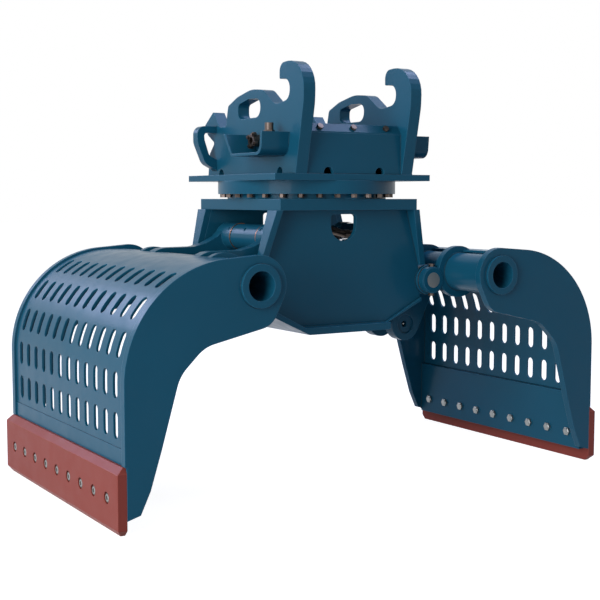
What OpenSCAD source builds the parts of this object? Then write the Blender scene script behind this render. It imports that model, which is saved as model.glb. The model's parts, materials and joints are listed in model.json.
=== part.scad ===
// Hydraulic sorting grapple, standing open on its blades.
// X runs across the opening, Y along the blades, Z up. Origin on the floor under the slewing axis.
// Shells are drawn at +X and mirrored for the left one. All sizes in mm.

/* [Shells] */

// length of both blades and shells along Y
shell_w = 1000; // [940:5:1100]
// distance from the centre plane to the blade's outer face
blade_out = 956; // [930:1:1000]
// blade thickness
blade_t = 29.4; // [20:0.2:40]
// blade height
blade_h = 203; // [180:1:230]
// height of the blade bolts above the floor
bolt_z = 101; // [80:1:130]
// number of blade bolts
bolt_n = 9; // [5:1:11]
// thickness of the shell's side plates
side_t = 25; // [15:1:30]
// thickness of the perforated sheet
sheet_t = 8; // [6:0.5:14]
// how far the side plates stand out past the sheet
sheet_in = 7.5; // [4:0.5:18]
// radius of the shell's rounded back
back_r = 360; // [340:1:380]
// slots along the blade
slot_cols = 12; // [8:1:14]
// slot width
slot_w = 33; // [20:1:40]
// slot length
slot_l = 80; // [60:1:90]
// slot row pitch along the sheet
slot_pitch = 120; // [110:1:130]

/* [Cross tubes and hinges] */

// cross tube outside radius
tube_r = 68; // [60:0.5:74]
// cross tube bore radius
tube_bore_r = 46; // [30:0.5:52]
// how far the tube stands out past each side plate
tube_out = 12; // [2:0.5:20]
// tube axis from the centre plane
tube_x = 482.3; // [470:0.5:500]
// tube axis height
tube_z = 709.9; // [700:0.5:730]
// hinge axis from the centre plane
hinge_x = 364; // [358:0.5:372]
// hinge axis height
hinge_z = 682.9; // [676:0.5:690]
// hinge pin radius
pin_r = 27.2; // [22:0.2:30]
// thickness of the outer pivot arms
arm_t = 25; // [18:0.5:26]
// radius of the arms' collars round the tube
collar_r = 93; // [84:1:98]
// thickness of the inner cylinder arms
cyl_arm_t = 45; // [35:1:50]

/* [Body] */

// half width of the top plate along X
top_x = 280.2; // [260:0.5:284]
// half depth of the top plate along Y
top_y = 283.3; // [276:0.1:292]
// top plate thickness
top_t = 37.5; // [25:0.5:40]
// height of the top plate's upper face
top_z = 972.7; // [960:0.1:985]
// outer face of the side frames from the centre plane
web_y = 238; // [232:0.5:242]
// side frame thickness
web_t = 16; // [10:0.5:18]
// bottom edge height of the side frames
web_bottom = 542; // [530:1:560]
// half width of the window
window_r = 51.5; // [40:0.5:60]
// flange thickness
flange_t = 24; // [14:0.5:28]

/* [Slewing ring and hitch] */

// outer ring radius
ring_r = 317.5; // [310:0.5:325]
// ring split radius
split_r = 284; // [276:0.5:287]
// outer ring height
ring_h = 45.1; // [35:0.1:55]
// gap from the top plate to the outer ring
ring_gap = 17.2; // [15:0.1:24]
// number of ring bolts
ring_bolts = 30; // [18:2:36]
// half width of the adapter plate along X
adapter_x = 316; // [300:1:330]
// half depth of the adapter plate along Y
adapter_y = 309.6; // [300:0.1:312]
// adapter plate thickness
adapter_t = 21.4; // [16:0.2:30]
// inner face of the hook plates from the centre plane
hook_x = 193; // [185:1:200]
// hook plate thickness
hook_t = 45; // [35:1:50]
// height of the housing's walls
housing_h = 136; // [120:1:150]
// front face of the housing from the slewing axis
housing_front = 303; // [295:1:309]
// rear face of the housing from the slewing axis
housing_rear = 296; // [288:1:305]
// housing wall thickness
housing_wall = 15; // [10:0.5:20]

/* [Cylinder] */

// depth of the cylinder axis below the top plate when open
cyl_drop = 96.3; // [94:0.1:99]
// upper eye axis from the centre plane when open
eye_x = 218.5; // [216:0.5:226]
// radius of the arms' upper eyes
eye_r = 48; // [42:0.5:48.5]
// cylinder pin radius
cyl_pin_r = 25; // [20:0.5:28]
// barrel outside radius
barrel_r = 37; // [34:0.5:37.5]
// sleeve outside radius
sleeve_r = 26; // [25:0.5:27]
// rod radius
rod_r = 16; // [14:0.5:17]

/* [Hidden] */

// rest gap between parts that move past each other
gap = 0.3;
// radial running clearance of a pin in its bush
run = 0.05;
// seal gap of the slewing ring
seal_gap = 1.5;
cut = 1;

half_w = shell_w / 2;
side_in = half_w - side_t;
blade_in = blade_out - blade_t;
back_x = blade_in + 5.4;
back_z = 436;
sheet_x = back_x - sheet_in;
sheet_r = back_r - sheet_in;
back_cx = back_x - back_r;
edge_top = 250;
edge_in = blade_in - 25.6;
bolt_pitch = (shell_w - 168.8) / (bolt_n - 1);
slot_step = (shell_w - 166) / (slot_cols - 1);
row_low = 273 + slot_l / 2;

arm_y = web_y + 12;
pin_end = arm_y + arm_t + 2;
left_arm = [150, 150 + cyl_arm_t];
right_arm = [53, 53 + cyl_arm_t];
lobe = [375, 507.9];
lobe_r = 61;

top_under = top_z - top_t;
cyl_z = top_under - cyl_drop;
frame_in = web_y - web_t;
web_front = top_y;
boss_r = norm([tube_x - hinge_x, tube_z - hinge_z]) - tube_r - 0.8;
bush_r = pin_r + 6;
window_top = top_under - 14.5;
window_z = window_top - 39.5;
window_corner = 12;

ring_z = top_z + ring_gap;
adapter_z = ring_z + ring_h;
base_z = adapter_z + adapter_t;
bolt_circle = (ring_r + split_r) / 2;
lid_z = base_z + housing_h;
hook_out = hook_x + hook_t;
port_y = -79;
port_z = base_z + 115;
inlet = [292, -232];
inlet_top = base_z + 166;

blue = [0.14, 0.33, 0.42];
red = [0.5, 0.24, 0.21];
steel = [0.6, 0.6, 0.6];
bronze = [0.7, 0.45, 0.25];
dark = [0.3, 0.27, 0.24];

// points of an arc from angle a0 to a1
function arc(cx, cy, r, a0, a1, n = 12) =
  [for (i = [0 : n]) let (a = a0 + (a1 - a0) * i / n) [cx + r * cos(a), cy + r * sin(a)]];

function unit(v) = v / norm(v);
function turn(a) = a > 180 ? a - 360 : a < -180 ? a + 360 : a;

// arc that rounds corner q between p and s with radius q[2]
function corner(p, q, s, n) =
  let (b = [q[0], q[1]],
       u = unit([p[0], p[1]] - b),
       v = unit([s[0], s[1]] - b),
       half = acos(u * v) / 2,
       c = b + unit(u + v) * q[2] / sin(half),
       d = q[2] / tan(half),
       f = b + u * d - c,
       g = b + v * d - c,
       a0 = atan2(f[1], f[0]),
       a1 = a0 + turn(atan2(g[1], g[0]) - a0))
  arc(c[0], c[1], q[2], a0, a1, n);

// closed outline from [x, y, corner radius] points
function rounded(v, n = 8) =
  let (m = len(v))
  [for (i = [0 : m - 1])
    each (v[i][2] > 0 ? corner(v[(i + m - 1) % m], v[i], v[(i + 1) % m], n) : [[v[i][0], v[i][1]]])];

// outline in X and Z, thick along Y from y0 to y1
module plate_y(y0, y1) {
  translate([0, y1, 0]) rotate([90, 0, 0]) linear_extrude(y1 - y0) children();
}

// outline in Y and Z, thick along X from x0 to x1
module plate_x(x0, x1) {
  translate([x0, 0, 0]) rotate([90, 0, 90]) linear_extrude(x1 - x0) children();
}

module rod_y(r, y0, y1, x, z) {
  translate([x, y1, z]) rotate([90, 0, 0]) cylinder(h = y1 - y0, r = r, $fn = 64);
}

module rod_x(r, x0, x1, y = 0, z = cyl_z) {
  translate([x0, y, z]) rotate([0, 90, 0]) cylinder(h = x1 - x0, r = r, $fn = 64);
}

module rod_z(r, z0, z1, x = 0, y = 0) {
  translate([x, y, z0]) cylinder(h = z1 - z0, r = r, $fn = 64);
}

module box(lo, hi) {
  translate(lo) cube(hi - lo);
}

module hex_head(af, h) {
  linear_extrude(h) polygon([for (a = [30 : 60 : 330]) [cos(a), sin(a)] * af / 2 / cos(30)]);
}

// draws the child at +X or mirrored to -X
module on_side(s) {
  if (s < 0) mirror([1, 0, 0]) children();
  else children();
}

module both_y() {
  children();
  mirror([0, 1, 0]) children();
}

module both_x() {
  children();
  mirror([1, 0, 0]) children();
}

// Body frame

function edge_x(z) = top_x + 12.8 + 0.268 * (top_under - z);

module frame_top_plate() {
  color(blue)
  difference() {
    box([-top_x, -top_y, top_under], [top_x, top_y, top_z]);
    rod_z(96, top_under - cut, top_z + cut);
  }
}

module web_outline() {
  polygon([
    [edge_x(top_under) - flange_t, top_under], [edge_x(hinge_z) - flange_t, hinge_z],
    [331, web_bottom + 79], [180, web_bottom],
    [-180, web_bottom], [-331, web_bottom + 79],
    [-edge_x(hinge_z) + flange_t, hinge_z], [-edge_x(top_under) + flange_t, top_under]
  ]);
}

module side_frame() {
  color(blue)
  difference() {
    plate_y(-web_y, -frame_in) web_outline();
    both_x() rod_y(boss_r, -web_y - cut, -frame_in + cut, hinge_x, hinge_z);
    box([-window_r, -web_y - cut, window_z], [window_r, -frame_in + cut, window_top - window_corner]);
    intersection() {
      rod_y(window_r, -web_y - cut, -frame_in + cut, 0, window_z);
      box([-window_r - cut, -web_y - 2, window_z - window_r - cut], [window_r + cut, -frame_in + 2, window_z + cut]);
    }
    box([window_corner - window_r, -web_y - cut, window_z],
      [window_r - window_corner, -frame_in + cut, window_top]);
    both_x() rod_y(window_corner, -web_y - cut, -frame_in + cut, window_r - window_corner,
      window_top - window_corner);
  }
}

module side_frame_front() side_frame();
module side_frame_rear() mirror([0, 1, 0]) side_frame();

// slanted flange on the outer edge of a side frame, narrower towards the hinge
module edge_flange() {
  low = hinge_z + 55;
  difference() {
    plate_y(-web_front, -frame_in) polygon([
      [edge_x(top_under) - flange_t, top_under], [edge_x(top_under), top_under],
      [edge_x(low), low], [edge_x(low) - flange_t, low]
    ]);
    plate_x(top_x - 40, hinge_x + 20) polygon([
      [-web_front - cut, top_under + cut], [-web_front, top_under + cut],
      [-web_front + 0.167 * (top_under - low) + 1.67, low - 10], [-web_front - cut, low - 10]
    ]);
    rod_y(boss_r, -web_front - cut, -frame_in + cut, hinge_x, hinge_z);
  }
}

module edge_flanges() {
  color(blue) both_y() both_x() edge_flange();
}

rim_t = 24;

module rim_outline() {
  polygon([
    [-331, web_bottom + 79 - rim_t], [-165, web_bottom - rim_t], [165, web_bottom - rim_t],
    [331, web_bottom + 79 - rim_t], [331, web_bottom + 79], [180, web_bottom],
    [-180, web_bottom], [-331, web_bottom + 79]
  ]);
}

// part of the rims between two planes across X, out to half depth y
module rim_part(x0, x1, y) {
  intersection() {
    plate_y(-web_front, y) rim_outline();
    box([x0, -web_front - cut, web_bottom - rim_t - cut], [x1, web_front + cut, web_bottom + 80]);
  }
}

// rims under both side frames, joined by a belly plate that leaves room for the right arms
module bottom_rims() {
  color(blue) {
    both_y() rim_part(-332, 172, -frame_in);
    rim_part(-300, 80, web_front);
    both_y() plate_y(-web_y - 12, -frame_in) polygon([
      [165, web_bottom - 12], [331, web_bottom + 67], [331, web_bottom + 79], [180, web_bottom],
      [165, web_bottom]
    ]);
  }
}

module hinge_bosses() {
  color(blue)
  both_y() both_x() difference() {
    rod_y(boss_r, -web_y - 9.5, -frame_in + 22, hinge_x, hinge_z);
    rod_y(bush_r, -web_y - 10, -frame_in + 23, hinge_x, hinge_z);
  }
}

module hinge_bushes() {
  color(bronze)
  both_y() both_x() difference() {
    rod_y(bush_r, -web_y - 9.5, -frame_in + 22, hinge_x, hinge_z);
    rod_y(pin_r + run, -web_y - 10, -frame_in + 23, hinge_x, hinge_z);
  }
}

module hinge_shims() {
  color(bronze)
  both_y() both_x() difference() {
    rod_y(eye_r, -arm_y + gap, -web_y - 9.5, hinge_x, hinge_z);
    rod_y(pin_r + 2 * gap, -arm_y - cut, -web_y, hinge_x, hinge_z);
  }
}

module bottom_beam() {
  color(blue)
  difference() {
    box([-80, -frame_in, web_bottom], [80, frame_in, web_bottom + 94]);
    box([-68, -frame_in - cut, web_bottom + 12], [68, frame_in + cut, web_bottom + 82]);
  }
}

module swivel_ring() {
  color(steel)
  difference() {
    union() {
      rod_z(96, top_under + 2, top_z + 40);
      rod_z(130, top_z, top_z + 14);
    }
    rod_z(60 + gap, top_under, top_z + 50);
  }
}

module slew_ring_inner() {
  color(dark)
  difference() {
    rod_z(split_r, top_z, adapter_z - 3);
    rod_z(split_r - 44, top_z - cut, adapter_z);
  }
}

// Hitch

module adapter_plate() {
  color(blue)
  difference() {
    box([-adapter_x, -adapter_y, adapter_z], [adapter_x, adapter_y, base_z]);
    rod_z(110, adapter_z - cut, base_z + cut);
    for (i = [0 : ring_bolts - 1]) rotate(360 * (i + 0.5) / ring_bolts)
      rod_z(6, adapter_z - cut, adapter_z + 16, bolt_circle);
  }
}

// hook, hump and notch of a hook plate, height counted from the adapter plate's top
hook_points = [
  [-309, 0, 0], [-357, 229, 200], [-364, 371, 92], [-209, 364, 30], [-209, 312, 6],
  [-275, 311, 34], [-271, 243, 34], [-178, 230, 60], [-98, 286, 60], [-20, 293, 200],
  [80, 273, 90], [148, 246, 14], [166, 175, 8], [214, 175, 8], [261, 233, 6], [329, 186, 6],
  [306, 151, 30], [253, 120, 8], [292, 81, 8], [304, 0, 0]
];
eye_points = [
  [-81, 259, 28], [0, 261, 60], [75, 246, 16], [76, 195, 24], [-81, 195, 32]
];

module hook_plate() {
  difference() {
    plate_x(hook_x, hook_out) translate([0, base_z]) difference() {
      polygon(rounded(hook_points));
      polygon(rounded(eye_points, 6));
    }
    for (y = [-209, 202]) {
      rod_x(18, hook_x - cut, hook_out + cut, y, base_z + 5);
      box([hook_x - cut, y - 18, base_z - cut], [hook_out + cut, y + 18, base_z + 5]);
    }
  }
}

module hook_plate_left() color(blue) mirror([1, 0, 0]) hook_plate();
module hook_plate_right() color(blue) hook_plate();

module swivel_housing() {
  y0 = housing_wall - housing_front;
  y1 = housing_rear - housing_wall;
  inner_x = hook_x - 43;
  color(blue)
  difference() {
    box([-hook_x, -housing_front, base_z], [hook_x, housing_rear, lid_z]);
    box([-inner_x, y0, base_z - cut], [inner_x, y1, lid_z + cut]);
    both_x() box([inner_x + housing_wall, y0, base_z - cut], [hook_x + cut, y1, lid_z + cut]);
    for (x = [-105, 105]) {
      rod_y(18, -housing_front - cut, y0 + cut, x, base_z + 5);
      box([x - 18, -housing_front - cut, base_z - cut], [x + 18, y0 + cut, base_z + 5]);
    }
  }
}

lid_t = 31;

module lid_outline() {
  polygon([
    [-housing_front, 0], [housing_rear, 0], [housing_rear, 18], [housing_rear - 16, lid_t],
    [21 - housing_front, lid_t], [-housing_front, 4]
  ]);
}

// middle of the lid's bevel and its slope
bevel = [10.5 - housing_front, 17.5];
bevel_tilt = 52;

module at_bevel(x) {
  translate([x, bevel[0], lid_z + bevel[1]]) rotate([bevel_tilt, 0, 0]) children();
}

module housing_lid() {
  color(blue)
  difference() {
    translate([0, 0, lid_z]) plate_x(-hook_x, hook_x) lid_outline();
    for (x = [-134, 0, 134]) at_bevel(x) translate([0, 0, -12]) cylinder(h = 20, r = 5, $fn = 32);
    rod_z(62, lid_z - cut, lid_z + lid_t + cut);
  }
}

module lid_bolts() {
  color(steel)
  for (x = [-134, 0, 134]) at_bevel(x) {
    translate([0, 0, -12]) cylinder(h = 12, r = 5, $fn = 32);
    hex_head(19, 9);
  }
}

// bent strip round the port, open at the top and on the outer side
module port_guard() {
  plate_x(hook_out, 342) translate([0, base_z]) difference() {
    polygon(rounded([[-271, 136, 0], [-264, 60, 34], [-62, 60, 12], [-9, 136, 0]]));
    polygon(rounded([[-260, 137, 0], [-254, 69, 26], [-67, 69, 8], [-20, 137, 0]]));
  }
}

module port_guards() {
  color(blue) both_x() port_guard();
}

module guard_loop() {
  x0 = hook_out;
  plate_y(235, 270) translate([0, base_z]) difference() {
    polygon(rounded([[x0, 179, 0], [317, 179, 30], [317, 118, 60], [286, 44, 40], [x0, 20, 0]]));
    polygon(rounded([[x0 - 1, 155, 0], [291, 155, 12], [288, 128, 30], [270, 74, 14], [x0 - 1, 57, 0]]));
  }
}

module guard_loops() {
  color(blue) both_x() guard_loop();
}

// four-bolt hose port on the hook plate's outer face
module port_flange() {
  x0 = hook_out;
  lobe_a = [30, 120, 210, 300];
  difference() {
    union() {
      rod_x(20, x0, x0 + 24, port_y, port_z);
      rod_x(21, x0 + 24, x0 + 36, port_y, port_z);
      for (a = lobe_a) rod_x(9, x0 + 24, x0 + 36, port_y + 22 * cos(a), port_z + 22 * sin(a));
    }
    rod_x(11, x0 + 10, x0 + 37, port_y, port_z);
  }
  for (a = lobe_a)
    translate([x0 + 36, port_y + 22 * cos(a), port_z + 22 * sin(a)]) rotate([0, 90, 0]) hex_head(10, 5);
}

module port_flanges() {
  color(dark) both_x() port_flange();
}

// elbow from the hook plate with an open port pointing up, behind the port guard
module inlet_coupling() {
  x = inlet[0];
  y = inlet[1];
  low = inlet_top - 82;
  difference() {
    union() {
      rod_z(14.5, low, inlet_top, x, y);
      translate([x, y, inlet_top - 42]) hex_head(32, 18);
      box([x - 18, y - 18, low], [x + 18, y + 18, low + 34]);
      rod_x(13, hook_out, x, y, low + 17);
    }
    rod_z(9.5, inlet_top - 34, inlet_top + cut, x, y);
  }
}

module inlet_couplings() {
  color(steel) both_x() inlet_coupling();
}

module slew_ring_outer() {
  color(dark)
  difference() {
    rod_z(ring_r, ring_z, adapter_z);
    rod_z(split_r + seal_gap, ring_z - cut, adapter_z + cut);
    for (i = [0 : ring_bolts - 1]) rotate(360 * (i + 0.5) / ring_bolts)
      rod_z(6.6, ring_z - cut, adapter_z + cut, bolt_circle);
  }
}

module slew_ring_bolts() {
  color(steel)
  for (i = [0 : ring_bolts - 1]) rotate(360 * (i + 0.5) / ring_bolts) translate([bolt_circle, 0, 0]) {
    translate([0, 0, ring_z - 12]) hex_head(19, 12);
    rod_z(6, ring_z, adapter_z + 15);
  }
}

module swivel_core() {
  color(steel) {
    rod_z(60, top_under + 4, lid_z + 10);
    difference() {
      rod_z(109, base_z - 12, base_z + 8);
      rod_z(60, base_z - 13, base_z + 9);
    }
  }
}

// Shells, drawn at +X

module side_outline() {
  polygon(concat(
    [[blade_in, blade_h + 0.5], [back_x, blade_h + 0.5]],
    arc(back_cx, back_z, back_r, 0, 84, 28),
    arc(tube_x, tube_z, collar_r + 1, 82, 203, 20),
    rounded([[tube_x - 85.2, tube_z - 39.7, 0], [tube_x - 42, 586, 70],
      [blade_in - 254.6, 535, 110], [blade_in - 172.6, 455, 120], [blade_in - 111.6, 243, 300],
      [blade_in - 74.6, 125, 40], [blade_in - 42.6, 57, 0], [blade_in, 45, 0]])
  ));
}

module side_plate(s) {
  color(blue) on_side(s)
  difference() {
    plate_y(-half_w, -side_in) side_outline();
    rod_y(tube_r, -half_w - cut, -side_in + cut, tube_x, tube_z);
  }
}

// slot cutter of length l, square to the sheet, at angle a round the back's centre
module slot(y, a, l) {
  e = (l - slot_w) / 2;
  translate([back_cx, y, back_z]) rotate([0, -a, 0]) translate([sheet_r - sheet_t - 10, 0, 0]) {
    for (d = [-e, e]) rod_x(slot_w / 2, 0, sheet_t + 20, 0, d);
    box([0, -slot_w / 2, -e], [sheet_t + 20, slot_w / 2, e]);
  }
}

// solid cylinder round the back's centre, half length y
module bend(r, y) {
  translate([back_cx, y, back_z]) rotate([90, 0, 0]) cylinder(h = 2 * y, r = r, $fn = 128);
}

function row_angle(z) = (z - back_z) / sheet_r * 180 / PI;

module sheet(s, arm) {
  color(blue) on_side(s)
  difference() {
    union() {
      box([sheet_x - sheet_t, -side_in, edge_top], [sheet_x, side_in, back_z]);
      box([tube_x + 20, -side_in, back_z + sheet_r - sheet_t], [back_cx, side_in, back_z + sheet_r]);
      intersection() {
        difference() {
          bend(sheet_r, side_in);
          bend(sheet_r - sheet_t, half_w);
        }
        box([back_cx, -side_in, back_z], [sheet_x + cut, side_in, back_z + back_r]);
      }
    }
    rod_y(tube_r, -half_w, half_w, tube_x, tube_z);
    both_y() {
      rod_y(collar_r, -arm[1], -arm[0], tube_x, tube_z);
      rod_y(collar_r, -arm_y - arm_t, -arm_y, tube_x, tube_z);
    }
    for (i = [0 : slot_cols - 1]) {
      y = (i - (slot_cols - 1) / 2) * slot_step;
      for (r = [0, 1]) translate([0, 0, row_low + r * slot_pitch - back_z]) slot(y, 0, slot_l);
      for (r = [2 : 4]) slot(y, row_angle(row_low + r * slot_pitch), slot_l);
    }
  }
}

module cross_tube(s) {
  color(blue) on_side(s)
  difference() {
    rod_y(tube_r, -half_w - tube_out, half_w + tube_out, tube_x, tube_z);
    rod_y(tube_bore_r, -half_w - tube_out - cut, half_w + tube_out + cut, tube_x, tube_z);
  }
}

module pivot_arm(s) {
  color(blue) on_side(s)
  difference() {
    union() {
      rod_y(collar_r, -arm_y - arm_t, -arm_y, tube_x, tube_z);
      rod_y(eye_r, -arm_y - arm_t, -arm_y, hinge_x, hinge_z);
      rod_y(eye_r - 4, -arm_y - arm_t - 1.5, -arm_y, hinge_x, hinge_z);
    }
    rod_y(tube_r, -arm_y - arm_t - cut, -arm_y + cut, tube_x, tube_z);
    rod_y(pin_r, -arm_y - arm_t - 2, -arm_y + cut, hinge_x, hinge_z);
    for (d = [-1, 1]) rod_z(5, hinge_z + d * (pin_r + 10) - 12, hinge_z + d * (pin_r + 10) + 12, hinge_x,
      -arm_y - arm_t / 2);
  }
}

// wavy top edge from the collar to the upper eye, straight lower edge round the hinge
module arm_outline() {
  polygon(rounded([
    [tube_x, tube_z + collar_r, 0], [hinge_x + 14, hinge_z + 121, 60], [hinge_x - 32, hinge_z + 132, 30],
    [eye_x + 65.5, cyl_z - 0.9, 30], [eye_x + 35.5, cyl_z + 27.1, 14],
    [eye_x + 6, cyl_z + eye_r - 0.5, 0], [eye_x - 0.731 * eye_r, cyl_z - 0.682 * eye_r, 0],
    [hinge_x - 40.2, hinge_z - 37.5, 0], [hinge_x + 6, hinge_z - 55, 0], [tube_x + 8, tube_z - collar_r, 0],
    [tube_x + 60, tube_z, 0]
  ]));
}

module cylinder_arm(s, y) {
  right = s > 0;
  color(blue) on_side(s)
  difference() {
    union() {
      plate_y(-y[1], -y[0]) arm_outline();
      rod_y(collar_r, -y[1], -y[0], tube_x, tube_z);
      rod_y(55, -y[1], -y[0], hinge_x, hinge_z);
      rod_y(eye_r, -y[1], right ? -y[0] : -93 - gap, eye_x, cyl_z);
      if (right) {
        rod_y(lobe_r, -y[1], -y[0], lobe[0], lobe[1]);
        plate_y(-y[1], -y[0]) polygon([
          [lobe[0] - 58, lobe[1] + 19], [lobe[0] + 54.5, lobe[1] - 27.3], [tube_x + 27, tube_z - 70],
          [hinge_x - 44, hinge_z - 30]
        ]);
      }
    }
    rod_y(tube_r, -y[1] - cut, -y[0] + cut, tube_x, tube_z);
    rod_y(pin_r, -y[1] - cut, -y[0] + cut, hinge_x, hinge_z);
    rod_y(cyl_pin_r, -y[1] - cut, -y[0] + 60, eye_x, cyl_z);
    if (right) {
      rod_y(36, -y[1] - cut, -y[1] + 8, lobe[0], lobe[1]);
      rod_y(12, -y[1] - cut, -y[1] + 28, lobe[0], lobe[1]);
    }
    else translate([eye_x, 0, cyl_z]) rotate([0, -grease_a, 0])
      translate([eye_r - 8, -117, -7]) cube([10, 10, 14]);
  }
}

module edge_plate(s) {
  color(blue) on_side(s)
  difference() {
    box([edge_in, -side_in, 43], [blade_in, side_in, edge_top]);
    for (i = [0 : bolt_n - 1])
      rod_x(10.5, edge_in - cut, blade_in + cut, (i - (bolt_n - 1) / 2) * bolt_pitch, bolt_z);
  }
}

module blade(s) {
  e = 18;
  color(red) on_side(s)
  difference() {
    intersection() {
      plate_y(-half_w, half_w) polygon([
        [blade_in, 0], [blade_in + 14.5, 0], [blade_out, 19], [blade_out, blade_h - 19],
        [blade_in + 9, blade_h], [blade_in, blade_h]
      ]);
      plate_x(blade_in - cut, blade_out + cut) polygon([
        [-half_w + e, 0], [half_w - e, 0], [half_w, e], [half_w, blade_h - e],
        [half_w - e / 2, blade_h], [-half_w + e / 2, blade_h], [-half_w, blade_h - e], [-half_w, e]
      ]);
    }
    for (i = [0 : bolt_n - 1]) {
      y = (i - (bolt_n - 1) / 2) * bolt_pitch;
      rod_x(10.5, blade_in - cut, blade_out + cut, y, bolt_z);
      rod_x(18.5, blade_out - 15, blade_out + cut, y, bolt_z);
    }
  }
}

module blade_bolts(s) {
  color(steel) on_side(s)
  for (i = [0 : bolt_n - 1]) {
    y = (i - (bolt_n - 1) / 2) * bolt_pitch;
    rod_x(10, edge_in - 11, blade_out - 4, y, bolt_z);
    rod_x(14, blade_out - 15, blade_out - 3, y, bolt_z);
    translate([edge_in - 8, y, bolt_z]) rotate([0, 90, 0]) hex_head(28, 8);
  }
}

module hinge_pins(s, y) {
  color(steel) on_side(s)
  both_y() rod_y(pin_r, -pin_end, -y, hinge_x, hinge_z);
}

module pin_locks(s) {
  color(steel) on_side(s)
  both_y() for (d = [0, 180]) translate([hinge_x, -arm_y - arm_t / 2, hinge_z]) rotate([0, d, 0]) {
    translate([0, 0, pin_r + gap]) cylinder(h = eye_r - pin_r, r = 5, $fn = 32);
    translate([0, 0, eye_r]) hex_head(18, 9);
  }
}

module cylinder_pin(s, y) {
  color(steel) on_side(s) rod_y(cyl_pin_r, -y, y, eye_x, cyl_z);
}

module sheet_left() sheet(-1, left_arm);
module sheet_right() sheet(1, right_arm);
module side_plate_left_front() side_plate(-1);
module side_plate_left_rear() mirror([0, 1, 0]) side_plate(-1);
module side_plate_right_front() side_plate(1);
module side_plate_right_rear() mirror([0, 1, 0]) side_plate(1);
module cross_tube_left() cross_tube(-1);
module cross_tube_right() cross_tube(1);
module pivot_arm_left_front() pivot_arm(-1);
module pivot_arm_left_rear() mirror([0, 1, 0]) pivot_arm(-1);
module pivot_arm_right_front() pivot_arm(1);
module pivot_arm_right_rear() mirror([0, 1, 0]) pivot_arm(1);
module cylinder_arm_left_front() cylinder_arm(-1, left_arm);
module cylinder_arm_left_rear() mirror([0, 1, 0]) cylinder_arm(-1, left_arm);
module cylinder_arm_right_front() cylinder_arm(1, right_arm);
module cylinder_arm_right_rear() mirror([0, 1, 0]) cylinder_arm(1, right_arm);
module edge_plate_left() edge_plate(-1);
module edge_plate_right() edge_plate(1);
module blade_left() blade(-1);
module blade_right() blade(1);
module blade_bolts_left() blade_bolts(-1);
module blade_bolts_right() blade_bolts(1);
module hinge_pins_left() hinge_pins(-1, left_arm[0] - 2);
module hinge_pins_right() hinge_pins(1, right_arm[0] - 2);
module pin_locks_left() pin_locks(-1);
module pin_locks_right() pin_locks(1);
module cylinder_pin_left() cylinder_pin(-1, left_arm[1] + 3);
module cylinder_pin_right() cylinder_pin(1, right_arm[1] + 3);

// Cylinder, along X between the upper eyes

eye_bush = cyl_pin_r + 5;
// grease slots look outwards at this slope
grease_a = 40;
barrel_end = 115;

module cyl_barrel() {
  color(blue)
  difference() {
    union() {
      rod_y(eye_r - 2, -93 + gap, 93 - gap, -eye_x, cyl_z);
      rod_x(barrel_r, -eye_x, barrel_end);
    }
    rod_y(eye_bush, -94, 94, -eye_x, cyl_z);
    rod_x(sleeve_r + 5, -158, barrel_end + cut);
    translate([-eye_x, 0, cyl_z]) rotate([0, grease_a, 0]) translate([-eye_r, -5, -7]) cube([10, 10, 14]);
  }
}

module cyl_gland() {
  color(dark)
  difference() {
    union() {
      rod_x(sleeve_r + 5, barrel_end - 18, barrel_end);
      rod_x(barrel_r - 2, barrel_end, barrel_end + 6);
    }
    rod_x(sleeve_r + gap, barrel_end - 20, barrel_end + 10);
  }
}

module cyl_sleeve() {
  color(steel)
  difference() {
    union() {
      rod_x(sleeve_r, -150, 136);
      rod_x(sleeve_r + 5 - gap, -150, -132);
      rod_x(sleeve_r + 6, barrel_end + 10, 136);
    }
    rod_x(sleeve_r - 7, -151, 116);
    rod_x(rod_r + gap, 115, 137);
  }
}

module cyl_rod() {
  color(steel)
  difference() {
    union() {
      rod_x(rod_r, -144, eye_x - 20);
      rod_x(sleeve_r - 7 - gap, -144, -128);
      rod_y(eye_r - 2, -right_arm[0] + gap, right_arm[0] - gap, eye_x, cyl_z);
    }
    rod_y(eye_bush, -60, 60, eye_x, cyl_z);
  }
}

module eye_sleeve(x, y) {
  difference() {
    rod_y(eye_bush, -y, y, x, cyl_z);
    rod_y(cyl_pin_r + run, -y - 1, y + 1, x, cyl_z);
  }
}

module barrel_bush() color(bronze) eye_sleeve(-eye_x, 93 - gap);
module rod_bush() color(bronze) eye_sleeve(eye_x, right_arm[0] - gap);

// rigid pipe along the barrel: sloping ferrule, union nut and elbow in sight of the window
module feed_pipe() {
  y = -barrel_r - 36;
  z = cyl_z + 11;
  color(dark) {
    rod_x(6, -120, 70, y, z);
    rod_x(11, -120, -96, y, z);
    rod_y(8, y, -barrel_r - 0.1, -108, z);
    translate([56, y, z + 12]) rotate([0, 105, 0]) cylinder(h = 62, r = 13.5, $fn = 64);
    translate([112, y, z - 3]) rotate([0, 90, 0]) hex_head(29, 22);
    rod_x(10, 134, 142, y, z - 3);
    rod_y(9, y - 10, y + 22, 142, z - 3);
    rod_y(8, y, -barrel_r - 0.1, 98, z - 8);
  }
}

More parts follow.
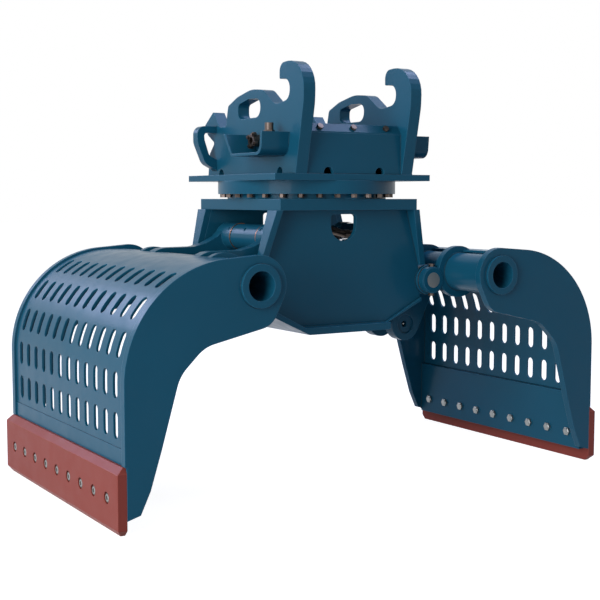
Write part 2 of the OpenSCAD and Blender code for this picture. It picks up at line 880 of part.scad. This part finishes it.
frame_top_plate();
side_frame_front();
side_frame_rear();
edge_flanges();
bottom_rims();
hinge_bosses();
hinge_bushes();
hinge_shims();
bottom_beam();
swivel_ring();
slew_ring_inner();
adapter_plate();
hook_plate_left();
hook_plate_right();
swivel_housing();
housing_lid();
lid_bolts();
port_guards();
guard_loops();
port_flanges();
inlet_couplings();
slew_ring_outer();
slew_ring_bolts();
swivel_core();
sheet_left();
side_plate_left_front();
side_plate_left_rear();
cross_tube_left();
pivot_arm_left_front();
pivot_arm_left_rear();
cylinder_arm_left_front();
cylinder_arm_left_rear();
edge_plate_left();
blade_left();
blade_bolts_left();
hinge_pins_left();
pin_locks_left();
cylinder_pin_left();
sheet_right();
side_plate_right_front();
side_plate_right_rear();
cross_tube_right();
pivot_arm_right_front();
pivot_arm_right_rear();
cylinder_arm_right_front();
cylinder_arm_right_rear();
edge_plate_right();
blade_right();
blade_bolts_right();
hinge_pins_right();
pin_locks_right();
cylinder_pin_right();
cyl_barrel();
cyl_gland();
cyl_sleeve();
cyl_rod();
barrel_bush();
rod_bush();
feed_pipe();
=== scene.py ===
"""Sorting grapple: paint, steel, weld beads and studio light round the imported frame."""
import json
import math

import bpy
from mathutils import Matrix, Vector


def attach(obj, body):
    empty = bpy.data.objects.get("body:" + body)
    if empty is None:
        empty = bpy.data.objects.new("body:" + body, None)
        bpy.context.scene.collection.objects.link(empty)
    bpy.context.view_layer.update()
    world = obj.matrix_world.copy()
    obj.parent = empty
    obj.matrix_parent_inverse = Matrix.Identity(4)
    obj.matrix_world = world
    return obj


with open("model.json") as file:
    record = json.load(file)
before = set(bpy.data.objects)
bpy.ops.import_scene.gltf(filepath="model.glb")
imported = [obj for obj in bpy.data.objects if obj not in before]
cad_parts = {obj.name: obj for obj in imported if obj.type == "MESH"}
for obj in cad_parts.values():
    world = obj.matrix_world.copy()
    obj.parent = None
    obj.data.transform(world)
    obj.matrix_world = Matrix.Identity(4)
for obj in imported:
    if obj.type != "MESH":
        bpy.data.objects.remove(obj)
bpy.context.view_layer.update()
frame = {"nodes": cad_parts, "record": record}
nodes = frame["nodes"]

# Sizes and places of the solids, in millimetres. X runs from shell to shell and Z upwards.
# Places are those of the right-hand side, which the left-hand side mirrors.

# axes of cross tube, hinge pin and cylinder eye
TUBE = Vector((482.3, 0, 709.9))
TUBE_R = 68
HINGE = Vector((364, 0, 682.9))
EYE = Vector((218.5, 0, 838.9))

# body frame: outer face and edges of the side frames, edge flanges, rims and beam
WEB_Y = 238
WEB_HALF = 269
WEB_BOTTOM = 542
TOP_UNDER = 935.2
FLANGE_X = 269
FLANGE_SLOPE = 0.268
FLANGE_ENDS = (930, 742)
BOSS_BEAD_R = 53
RIM_END = 329
RIM_END_Z = 620
RIM_KNEE = 180
BEAM_HALF = 80
BEAM_FACE = 222
BEAM_H = 94

# hitch: adapter plate's top, lid's underside, hook plates, housing and guards
BASE = 1056.4
LID = 1192.4
HOOK_IN = 193
HOOK_OUT = 238
HOUSING_FRONT = -303
HOOK_FEET = ((-308, -228), (-190, 183), (221, 302))
HOUSING_FEET = ((-191, -124), (-86, 86), (124, 191))
LOOP_SIDES = (235, 270)
LOOP_FEET = (20, 179)
GUARD = ((-271, 136), (-267, 95), (-261, 78), (-250, 66), (-231, 60), (-70, 60), (-61, 63), (-9, 136))

# shells: side plates, back sheet, edge plate and the faces of the arms on the tube
PLATE_Y = 475
BACK = Vector((571.9, 0, 436))
SHEET_R = 352.5
SHEET_T = 8
SHEET_X = 924.5
SHEET_HALF = 470
SHEET_START = 86
SHEET_START_IN = 84
EDGE_TOP = 250
EDGE_IN = 901
EDGE_FOOT = 50
SHARED_ARM_FACES = (275, 250)
ARM_FACES = {"left_shell": (150, 195), "right_shell": (53, 98)}
TUBE_END = 500

# blade bolts
BOLTS = 9
BOLT_PITCH = 103.9
BOLT_Z = 101
HEAD_X = 953
NUT_X = 893

# radii of the weld beads, and how far apart their points lie on wide bends
THIN_BEAD = 2
BEAD = 2.5
FULL_BEAD = 3
BEND_STEP = 6

SIDES = (("left_shell", -1), ("right_shell", 1))


# Materials

def linear(code):
    """An sRGB hex colour as linear RGBA."""
    parts = [int(code[i:i + 2], 16) / 255 for i in (1, 3, 5)]
    return [c / 12.92 if c <= 0.04045 else ((c + 0.055) / 1.055) ** 2.4 for c in parts] + [1]


def add(owner, kind, inputs=None, out=None, **settings):
    """Adds a shader node; an input is a value or a socket. Gives its live output, or the one named in out."""
    node = owner.node_tree.nodes.new("ShaderNode" + kind)
    for name, value in settings.items():
        setattr(node, name, value)
    for key, value in (inputs or {}).items():
        socket = node.inputs[key] if isinstance(key, int) else next(
            s for s in node.inputs if s.enabled and s.name == key)
        if isinstance(value, bpy.types.NodeSocket):
            owner.node_tree.links.new(value, socket)
        else:
            socket.default_value = value
    return next((s for s in node.outputs if s.enabled and out in (None, s.name)), None)


def new_material(name):
    material = bpy.data.materials.new(name)
    material.use_nodes = True
    material.node_tree.nodes.clear()
    return material


def finish(material, shader):
    add(material, "OutputMaterial", {"Surface": shader})
    return material


def mix(material, share, a, b):
    return add(material, "Mix", {"Factor": share, "A": a, "B": b}, data_type="RGBA")


def edge_highlight(material, radius, low, high):
    """Rounded normal, and the mask of the painted edge highlight: 0 on flat faces to 1 on corners from how
    far it turns from the face's own.
    """
    rounded = add(material, "Bevel", {"Radius": radius}, samples=6)
    face = add(material, "NewGeometry", out="Normal")
    turn = add(material, "VectorMath", {0: rounded, 1: face}, operation="DOT_PRODUCT")
    return rounded, add(material, "MapRange", {"Value": turn, "From Min": high, "From Max": low})


def sprayed_enamel(name, shade, light, edge, gloss):
    """Two-pack enamel sprayed on blasted plate: even colour, soft gloss and a faint orange peel."""
    material = new_material(name)
    place = add(material, "TexCoord", out="Object")
    # colour drifts over about 250 mm, as the film's thickness does
    drift = add(material, "TexNoise", {"Vector": place, "Scale": 1 / 0.25, "Detail": 3.0})
    body = mix(material, drift, linear(shade), linear(light))
    # painted highlight: cut edges are mixed towards the lighter edge colour, standing in for the light they
    # catch
    rounded, edge_highlight_share = edge_highlight(material, 0.003, 0.93, 0.995)
    colour = mix(material, edge_highlight_share, body, linear(edge))
    # orange peel is about 2.5 mm across on plate, drawn at 4 mm so that it shows
    peel = add(material, "TexNoise", {"Vector": place, "Scale": 1 / 0.004, "Detail": 2.0})
    bump = add(material, "Bump", {"Height": peel, "Normal": rounded, "Strength": 0.06, "Distance": 0.001})
    # dry overspray dulls patches of about 60 mm
    dull = add(material, "TexNoise", {"Vector": place, "Scale": 1 / 0.06, "Detail": 4.0})
    rough = add(material, "MapRange", {"Value": dull, "From Min": 0.3, "From Max": 0.7,
                                       "To Min": gloss - 0.04, "To Max": gloss + 0.06})
    return finish(material, add(material, "BsdfPrincipled", {
        "Base Color": colour, "Roughness": rough, "Normal": bump,
        "IOR": 1.18, "Coat Weight": 0.06, "Coat Roughness": 0.12}))


def machined_steel(name, shade, light, rough, centre=None):
    """Turned or ground metal: stained over 20 mm, with rings round a centre where one is given."""
    material = new_material(name)
    place = add(material, "TexCoord", out="Object")
    stain = add(material, "TexNoise", {"Vector": place, "Scale": 1 / 0.02, "Detail": 4.0})
    body = mix(material, stain, linear(shade), linear(light))
    if centre:
        # tool marks, drawn 4 mm apart so that they show
        pitch = 0.004
        side = add(material, "VectorMath", {0: place}, operation="ABSOLUTE")
        arm = add(material, "VectorMath", {0: side, 1: centre}, operation="SUBTRACT")
        flat = add(material, "VectorMath", {0: arm, 1: (1, 0, 1)}, operation="MULTIPLY")
        reach = add(material, "VectorMath", {0: flat}, operation="LENGTH")
        turns = add(material, "Math", {0: reach, 1: 2 * math.pi / pitch}, operation="MULTIPLY")
        height = add(material, "Math", {0: turns}, operation="SINE")
    else:
        height = add(material, "TexNoise", {"Vector": place, "Scale": 1 / 0.0015, "Detail": 2.0})
    bump = add(material, "Bump", {"Height": height, "Strength": 0.12, "Distance": 0.0005})
    return finish(material, add(material, "BsdfPrincipled", {
        "Base Color": body, "Roughness": rough, "Metallic": 1.0, "Normal": bump}))


# body colour of frame, hitch, shells, slewing rings and cylinder barrel, with a lighter edge colour as
# painted highlight
teal_enamel = sprayed_enamel("teal_enamel", "#15546A", "#195B72", "#337089", 0.32)
# the same enamel in corners and over weld scales, darker as painted shade in the corners, rougher, and
# without the painted edge highlight
weld_enamel_painted_shade = sprayed_enamel("weld_enamel_painted_shade", "#0E3644", "#124050", "#124050", 0.45)
# primer on the wear steel of the blades, flatter than the enamel, with a lighter edge colour as painted
# highlight
red_primer = sprayed_enamel("red_primer", "#8A4036", "#93453A", "#A8594C", 0.5)
# zinc plated blade bolts and grease nipples
zinc_steel = machined_steel("zinc_plated_steel", "#858886", "#A0A3A1", 0.42)
# blackened and oiled: screws, cylinder pins and gland, port flanges, couplings, feed pipe and swivel
oiled_steel = machined_steel("oiled_black_steel", "#4C4540", "#6E625A", 0.45)
# ground ends of the hinge pins, with turning marks
pin_steel = machined_steel("ground_pin_steel", "#A3A29D", "#B2B0AA", 0.4, (HINGE.x / 1000, 0, HINGE.z / 1000))
# bronze shims and bushes
shim_bronze = machined_steel("shim_bronze", "#B07048", "#C98A5C", 0.4)
# hard chrome of rod and sleeve
hard_chrome = machined_steel("hard_chrome", "#C4C6C8", "#D4D6D8", 0.14)

FINISHES = {
    "red_paint": red_primer,
    "bolt_steel": oiled_steel,
    "bronze": shim_bronze,
    "ring_steel": oiled_steel,
    "rod_chrome": hard_chrome,
    "teal_paint": teal_enamel,
}
slots = {part["node"]: part["material_slot"] for part in frame["record"]["subparts"]}
OWN = {
    "blade_bolts_left": zinc_steel, "blade_bolts_right": zinc_steel,
    "hinge_pins_left": pin_steel, "hinge_pins_right": pin_steel,
    "slew_ring_outer": teal_enamel, "slew_ring_inner": teal_enamel,
}
for name, piece in nodes.items():
    piece.data.materials.clear()
    piece.data.materials.append(OWN.get(name, FINISHES[slots[name]]))


# Mesh helpers

def build(name, points, faces, material, body, smooth=True):
    """A mesh piece from points in millimetres, riding on a body."""
    mesh = bpy.data.meshes.new(name)
    mesh.from_pydata([Vector(p) / 1000 for p in points], [], faces)
    mesh.update()
    mesh.materials.append(material)
    mesh.polygons.foreach_set("use_smooth", [smooth] * len(mesh.polygons))
    piece = bpy.data.objects.new(name, mesh)
    bpy.context.scene.collection.objects.link(piece)
    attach(piece, body)
    return piece


def spaced(path, step):
    """Points every step along a path of corners."""
    out = []
    for a, b in zip(path, path[1:]):
        count = max(1, round((b - a).length / step))
        out += [a.lerp(b, i / count) for i in range(count)]
    return out + [path[-1]]


def circle(centre, radius, start=0, end=360, step=3):
    """Arc in the X-Z plane round a centre."""
    count = max(8, round(radius * math.radians(abs(end - start)) / step))
    angles = [math.radians(start + (end - start) * i / count) for i in range(count + 1)]
    return [centre + Vector((radius * math.cos(a), 0, radius * math.sin(a))) for a in angles]


def bead_mesh(path, radius, points, faces):
    """Adds a rippled weld bead along a path to the lists of points and faces."""
    path = spaced(path, 3)
    first = len(points)
    sides = 8
    along = 0
    for i, p in enumerate(path):
        ahead = (path[min(i + 1, len(path) - 1)] - path[max(i - 1, 0)]).normalized()
        across = ahead.cross(Vector((0.31, 0.52, 0.79))).normalized()
        up = ahead.cross(across)
        along += (p - path[i - 1]).length if i else 0
        # the puddle freezes in scales about 8 mm apart
        r = radius * (1 + 0.1 * math.sin(2 * math.pi * along / 8))
        for k in range(sides):
            a = 2 * math.pi * k / sides
            points.append(p + across * r * math.cos(a) + up * r * math.sin(a))
    for i in range(len(path) - 1):
        for k in range(sides):
            a, b = first + i * sides + k, first + i * sides + (k + 1) % sides
            faces.append((a, b, b + sides, a + sides))


def weld(name, runs, body):
    """One piece of weld beads from (path, radius) runs."""
    points, faces = [], []
    for path, radius in runs:
        bead_mesh(path, radius, points, faces)
    # the beads take the darker enamel, which is painted shade in the corners
    build(name, points, faces, weld_enamel_painted_shade, body)


def mirrored(path, x=1, y=1):
    return [Vector((p.x * x, p.y * y, p.z)) for p in path]


def line(*corners):
    return [Vector(c) for c in corners]


# Weld beads

def flange_x(z):
    """Inner side of the slanted edge flanges at a height."""
    return FLANGE_X + FLANGE_SLOPE * (TOP_UNDER - z)


frame_runs = []
for y in (-1, 1):
    top_edge = line((-WEB_HALF, WEB_Y, TOP_UNDER), (WEB_HALF, WEB_Y, TOP_UNDER))
    frame_runs.append((mirrored(top_edge, 1, y), BEAD))
    for x in (-1, 1):
        flange = [Vector((flange_x(z), WEB_Y, z)) for z in FLANGE_ENDS]
        frame_runs.append((mirrored(flange, x, y), BEAD))
        boss = circle(Vector((HINGE.x, WEB_Y, HINGE.z)), BOSS_BEAD_R)
        frame_runs.append((mirrored(boss, x, y), BEAD))
    rim = line((-RIM_END, WEB_Y, RIM_END_Z), (-RIM_KNEE, WEB_Y, WEB_BOTTOM),
               (RIM_KNEE, WEB_Y, WEB_BOTTOM), (RIM_END, WEB_Y, RIM_END_Z))
    frame_runs.append((mirrored(rim, 1, y), THIN_BEAD))
    beam = line((-BEAM_HALF, BEAM_FACE, WEB_BOTTOM + BEAM_H), (BEAM_HALF, BEAM_FACE, WEB_BOTTOM + BEAM_H))
    frame_runs.append((mirrored(beam, 1, y), BEAD))
weld("frame_welds", frame_runs, "frame")

hitch_runs = []
for x in (-1, 1):
    for wall in (HOOK_IN, HOOK_OUT):
        for y0, y1 in HOOK_FEET:
            hitch_runs.append((mirrored(line((wall, y0, BASE), (wall, y1, BASE)), x), BEAD))
    corner = line((HOOK_IN, HOUSING_FRONT, LID), (HOOK_IN, HOUSING_FRONT, BASE))
    hitch_runs.append((mirrored(corner, x), THIN_BEAD))
    guard = [Vector((HOOK_OUT, y, BASE + z)) for y, z in GUARD]
    hitch_runs.append((mirrored(guard, x), THIN_BEAD))
    for z in LOOP_FEET:
        foot = [Vector((HOOK_OUT, y, BASE + z)) for y in LOOP_SIDES]
        hitch_runs.append((mirrored(foot, x), BEAD))
for a, b in HOUSING_FEET:
    hitch_runs.append((line((a, HOUSING_FRONT, BASE), (b, HOUSING_FRONT, BASE)), BEAD))
weld("hitch_welds", hitch_runs, "hitch")

for body, x in SIDES:
    runs = []
    faces_on_tube = [(TUBE_END, BEAD)]
    faces_on_tube += [(face, FULL_BEAD) for face in (PLATE_Y,) + SHARED_ARM_FACES + ARM_FACES[body]]
    for y in (-1, 1):
        for face, radius in faces_on_tube:
            runs.append((mirrored(circle(TUBE + Vector((0, face, 0)), TUBE_R), x, y), radius))
        centre = BACK + Vector((0, PLATE_Y, 0))
        outer = circle(centre, SHEET_R, SHEET_START, 0, BEND_STEP)
        outer += line((SHEET_X, PLATE_Y, BACK.z), (SHEET_X, PLATE_Y, EDGE_TOP))
        inside = circle(centre, SHEET_R - SHEET_T, SHEET_START_IN, 0, BEND_STEP)
        inside += line((SHEET_X - SHEET_T, PLATE_Y, EDGE_TOP), (EDGE_IN, PLATE_Y, EDGE_TOP),
                       (EDGE_IN, PLATE_Y, EDGE_FOOT))
        runs.append((mirrored(outer, x, y), THIN_BEAD))
        runs.append((mirrored(inside, x, y), FULL_BEAD))
    for reach, radius in ((SHEET_X, THIN_BEAD), (SHEET_X - SHEET_T, FULL_BEAD)):
        seam = line((reach, -SHEET_HALF, EDGE_TOP), (reach, SHEET_HALF, EDGE_TOP))
        runs.append((mirrored(seam, x), radius))
    weld(body + "_welds", runs, body)


# Bolt faces, shims and nipples

def socket_face(centre, axis, radius, socket, depth, points, faces):
    """Chamfered ring with a hexagon opening, standing on a bolt head."""
    axis = Vector(axis)
    side = axis.orthogonal().normalized()
    up = axis.cross(side)
    sides = 24
    first = len(points)
    for r, h in ((radius, 0), (radius, depth * 0.4), (radius - 1.5, depth)):
        for k in range(sides):
            a = 2 * math.pi * k / sides
            points.append(centre + (side * math.cos(a) + up * math.sin(a)) * r + axis * h)
    for h in (depth, 0):
        for k in range(sides):
            a = 2 * math.pi * k / sides
            bend = (a + math.pi / 6) % (math.pi / 3) - math.pi / 6
            r = socket / math.cos(bend)
            points.append(centre + (side * math.cos(a) + up * math.sin(a)) * r + axis * h)
    for ring in range(4):
        for k in range(sides):
            a, b = first + ring * sides + k, first + ring * sides + (k + 1) % sides
            faces.append((a, b, b + sides, a + sides))


def turned(centre, axis, profile, points, faces):
    """Adds a turned shape: (radius, height) pairs round an axis through a centre."""
    axis = Vector(axis)
    side = axis.orthogonal().normalized()
    up = axis.cross(side)
    sides = 48
    first = len(points)
    for r, h in profile:
        for k in range(sides):
            a = 2 * math.pi * k / sides
            points.append(centre + (side * math.cos(a) + up * math.sin(a)) * r + axis * h)
    for ring in range(len(profile) - 1):
        for k in range(sides):
            a, b = first + ring * sides + k, first + ring * sides + (k + 1) % sides
            faces.append((a, b, b + sides, a + sides))


# shim washers at both ends of the barrel's eye
SHIM = ((45, 92.7), (48.4, 92.7), (48.4, 90.5), (45, 90.5))
points, faces = [], []
for y in (-1, 1):
    turned(Vector((-EYE.x, 0, EYE.z)), (0, y, 0), SHIM, points, faces)
build("eye_shims", points, faces, shim_bronze, "barrel", smooth=False)

# grease nipple in the bore of each right arm's dish: ball, neck and round foot
LOBE_X = 375
LOBE_Z = 507.9
NIPPLE_FOOT_Y = 72
NIPPLE = ((0.2, 16), (3.6, 14.5), (5, 11), (3.8, 8), (3.6, 7), (7, 6.4), (7, 0))
points, faces = [], []
for y in (-1, 1):
    turned(Vector((LOBE_X, y * NIPPLE_FOOT_Y, LOBE_Z)), (0, y, 0), NIPPLE, points, faces)
build("lobe_nipples", points, faces, zinc_steel, "right_shell")

# blade bolts: socket faces outside and ends in the nuts inside; the dark oiled-steel rings round the heads
# and discs in the hollows of both are painted shade
# dark ring on the rim of each head: painted shade of the counterbore round it
SEAT_SHADE = ((14, 0), (14, 0.5), (11.5, 0.5), (11.5, 0))
HEAD_R = 11.5
SOCKET = 6.5
HEAD_H = 1.6
# dark disc in each socket and in each bolt end's hollow: painted shade of the hollow
HOLLOW_SHADE = ((7.6, 0.15), (0.1, 0.15))
BOLT_END = ((13, 0), (13, 0.6), (11, 2), (7.4, 2), (6.6, 0.2))
for body, x in SIDES:
    points, faces, shade_points, shade_faces = [], [], [], []
    for i in range(BOLTS):
        y = (i - (BOLTS - 1) / 2) * BOLT_PITCH
        spot = Vector((x * HEAD_X, y, BOLT_Z))
        socket_face(spot, (x, 0, 0), HEAD_R, SOCKET, HEAD_H, points, faces)
        turned(spot, (x, 0, 0), SEAT_SHADE, shade_points, shade_faces)
        turned(spot, (x, 0, 0), HOLLOW_SHADE, shade_points, shade_faces)
        spot = Vector((x * NUT_X, y, BOLT_Z))
        turned(spot, (-x, 0, 0), BOLT_END, points, faces)
        turned(spot, (-x, 0, 0), HOLLOW_SHADE, shade_points, shade_faces)
    build(body + "_bolt_faces", points, faces, zinc_steel, body, smooth=False)
    # the dark rings and discs are painted shade, drawn in oiled steel
    build(body + "_bolt_painted_shade", shade_points, shade_faces, oiled_steel, body, smooth=False)


# Studio

floor_mesh = bpy.data.meshes.new("floor")
floor_mesh.from_pydata([(-40, -40, 0), (40, -40, 0), (40, 40, 0), (-40, 40, 0)], [], [(0, 1, 2, 3)])
floor = bpy.data.objects.new("floor", floor_mesh)
bpy.context.scene.collection.objects.link(floor)

# matt grey floor that glows white to the camera and in reflections, and keeps a soft shadow
studio_floor = new_material("matt_studio_floor")


def white_rays(owner):
    """1 for camera, glossy and transmission rays, 0 for the soft light."""
    mirrors = add(owner, "Math", {0: add(owner, "LightPath", out="Is Glossy Ray"),
                                  1: add(owner, "LightPath", out="Is Transmission Ray")}, operation="MAXIMUM")
    seen = add(owner, "LightPath", out="Is Camera Ray")
    return add(owner, "Math", {0: mirrors, 1: seen}, operation="MAXIMUM")


matt = add(studio_floor, "BsdfDiffuse", {"Color": linear("#B0B0B0")})
glow = add(studio_floor, "Emission", {"Color": (1, 1, 1, 1), "Strength": 0.93})
both = add(studio_floor, "AddShader", {0: matt, 1: glow})
finish(studio_floor, add(studio_floor, "MixShader", {0: white_rays(studio_floor), 1: matt, 2: both}))
floor_mesh.materials.append(studio_floor)

world = bpy.data.worlds.new("studio")
bpy.context.scene.world = world
world.use_nodes = True
world.node_tree.nodes.clear()
fill = add(world, "Background", {"Color": linear("#E6ECFF"), "Strength": 0.25})
white = add(world, "Background", {"Color": (1, 1, 1, 1), "Strength": 1.0})
share = add(world, "MixShader", {0: white_rays(world), 1: fill, 2: white})
add(world, "OutputWorld", {"Surface": share})


def lamp(name, place, target, size, power, colour):
    data = bpy.data.lights.new(name, "AREA")
    data.shape = "DISK"
    data.size = size
    data.energy = power
    data.color = linear(colour)[:3]
    item = bpy.data.objects.new(name, data)
    item.location = place
    item.rotation_euler = (Vector(target) - Vector(place)).to_track_quat("-Z", "Y").to_euler()
    bpy.context.scene.collection.objects.link(item)


lamp("left_key", (-6.2, -2.2, 3.5), (0, 0, 0.8), 4, 185, "#F4F6FF")
lamp("low_left", (-5.6, -2.6, 0.9), (0.4, 0, 0.6), 3, 155, "#F8F6FF")
# box lights high on the right and behind on the left, for the soft sheen on edges and curved sheet
lamp("top_right", (2.4, -0.2, 4.6), (0, 0, 0.9), 2.5, 130, "#C4CEFF")
lamp("rear_left", (-2.5, 5.0, 3.35), (-0.8, 0, 0.65), 2.5, 110, "#CCD2FF")

# the photograph's own view: from the front left, turned 32 degrees to the right and 5 degrees down
camera_data = bpy.data.cameras.new("camera")
camera_data.sensor_width = 36
camera_data.lens = 36 * 1164.83 / 600
camera = bpy.data.objects.new("camera", camera_data)
camera.location = (-2.24756, -3.55651, 0.97787)
camera.rotation_euler = (math.radians(90 - 5.03), 0, math.radians(-31.97))
bpy.context.scene.collection.objects.link(camera)
bpy.context.scene.camera = camera
bpy.context.scene.view_settings.view_transform = "Standard"

bpy.context.view_layer.update()
